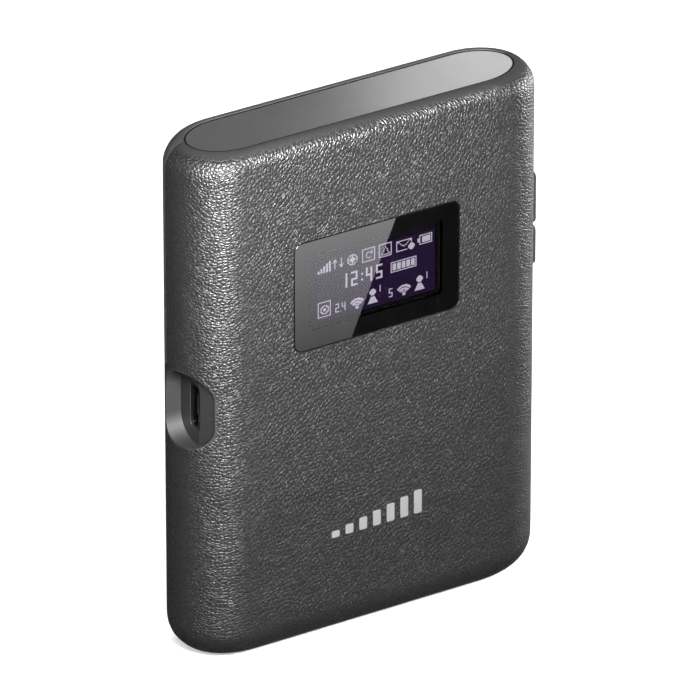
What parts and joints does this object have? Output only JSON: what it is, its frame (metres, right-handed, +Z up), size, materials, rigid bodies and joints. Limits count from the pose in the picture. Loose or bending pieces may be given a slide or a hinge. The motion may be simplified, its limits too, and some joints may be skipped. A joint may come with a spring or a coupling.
{
  "type": "mobile hotspot",
  "caption": "Pocket mobile hotspot with a grained front shell, lift-off back, metal end plate, display window, side charging port and side buttons.",
  "frame": {"origin": "centre of the bottom end, on the surface it stands on", "axes": "+Z up the long side towards the metal end plate, -Y out of the display face, +X to the right seen from the display, where the buttons are"},
  "size_m": [0.0659, 0.015, 0.091],
  "materials": {
    "grained_shell": "leather-grained, satin",
    "plain_shell": "fine matt",
    "button_plastic": "fine matt",
    "satin_metal": "satin, bright bevel",
    "window_lens": "polished, tinted",
    "black_mask": "matt black",
    "emblem_silver": "bright satin",
    "display_glass": "polished",
    "ribbon_film": "amber film",
    "board_laminate": "solder mask",
    "tinned_steel": "tinned",
    "blackened_steel": "dark plated",
    "chip_resin": "moulded resin",
    "switch_resin": "moulded resin",
    "plunger_resin": "moulded resin",
    "gold_contact": "gold plated",
    "frame_plastic": "fine matt",
    "screw_steel": "zinc plated",
    "battery_wrap": "printed film",
    "card_plastic": "smooth",
    "label_paper": "smooth"
  },
  "bodies": {
    "main_unit": {"front_cover": "grained_shell", "end_plate": "satin_metal", "display_window": "window_lens", "window_adhesive": "black_mask", "front_emblem": "emblem_silver", "power_switch": "switch_resin", "menu_switch": "switch_resin", "reset_switch": "switch_resin", "port_shell": "blackened_steel", "port_tongue": "switch_resin", "oled_panel": "display_glass", "oled_holder": "black_mask", "oled_ribbon": "ribbon_film", "main_board": "board_laminate", "shield_cans": "tinned_steel", "processor_chips": "chip_resin", "sim_socket": "tinned_steel", "main_antenna": "gold_contact", "diversity_antenna": "gold_contact", "wifi_antennas": "gold_contact", "antenna_springs": "gold_contact", "inner_frame": "frame_plastic", "frame_screws": "screw_steel", "board_screws": "screw_steel", "battery_contacts": "switch_resin", "contact_blades": "gold_contact", "bay_label": "label_paper"},
    "power_key": {"power_button": "button_plastic", "power_plunger": "plunger_resin"},
    "menu_key": {"menu_button": "button_plastic", "menu_plunger": "plunger_resin"},
    "reset_key": {"reset_button": "plunger_resin"},
    "rear_cover": {"back_cover": "plain_shell"},
    "battery_pack": {"battery": "battery_wrap"},
    "sim": {"sim_card": "card_plastic"}
  },
  "joints": [
    {"name": "power_press", "type": "slide", "parent": "main_unit", "child": "power_key", "axis": [-1, 0, 0], "range_m": [0, 0.0004], "stiffness_N_per_m": 300},
    {"name": "menu_press", "type": "slide", "parent": "main_unit", "child": "menu_key", "axis": [-1, 0, 0], "range_m": [0, 0.0004], "stiffness_N_per_m": 300},
    {"name": "reset_press", "type": "slide", "parent": "main_unit", "child": "reset_key", "axis": [0, -1, 0], "range_m": [0, 0.0003], "stiffness_N_per_m": 300},
    {"name": "cover_lift", "type": "slide", "parent": "main_unit", "child": "rear_cover", "axis": [0, 1, 0], "range_m": [0, 0.03]},
    {"name": "battery_lift", "type": "slide", "parent": "main_unit", "child": "battery_pack", "axis": [0, 1, 0], "range_m": [0, 0.015]},
    {"name": "sim_slide", "type": "slide", "parent": "main_unit", "child": "sim", "axis": [1, 0, 0], "range_m": [0, 0.012]}
  ],
  "couplings": [
    {"joint": "battery_lift", "follows": "cover_lift", "ratio": 0.5}
  ]
}
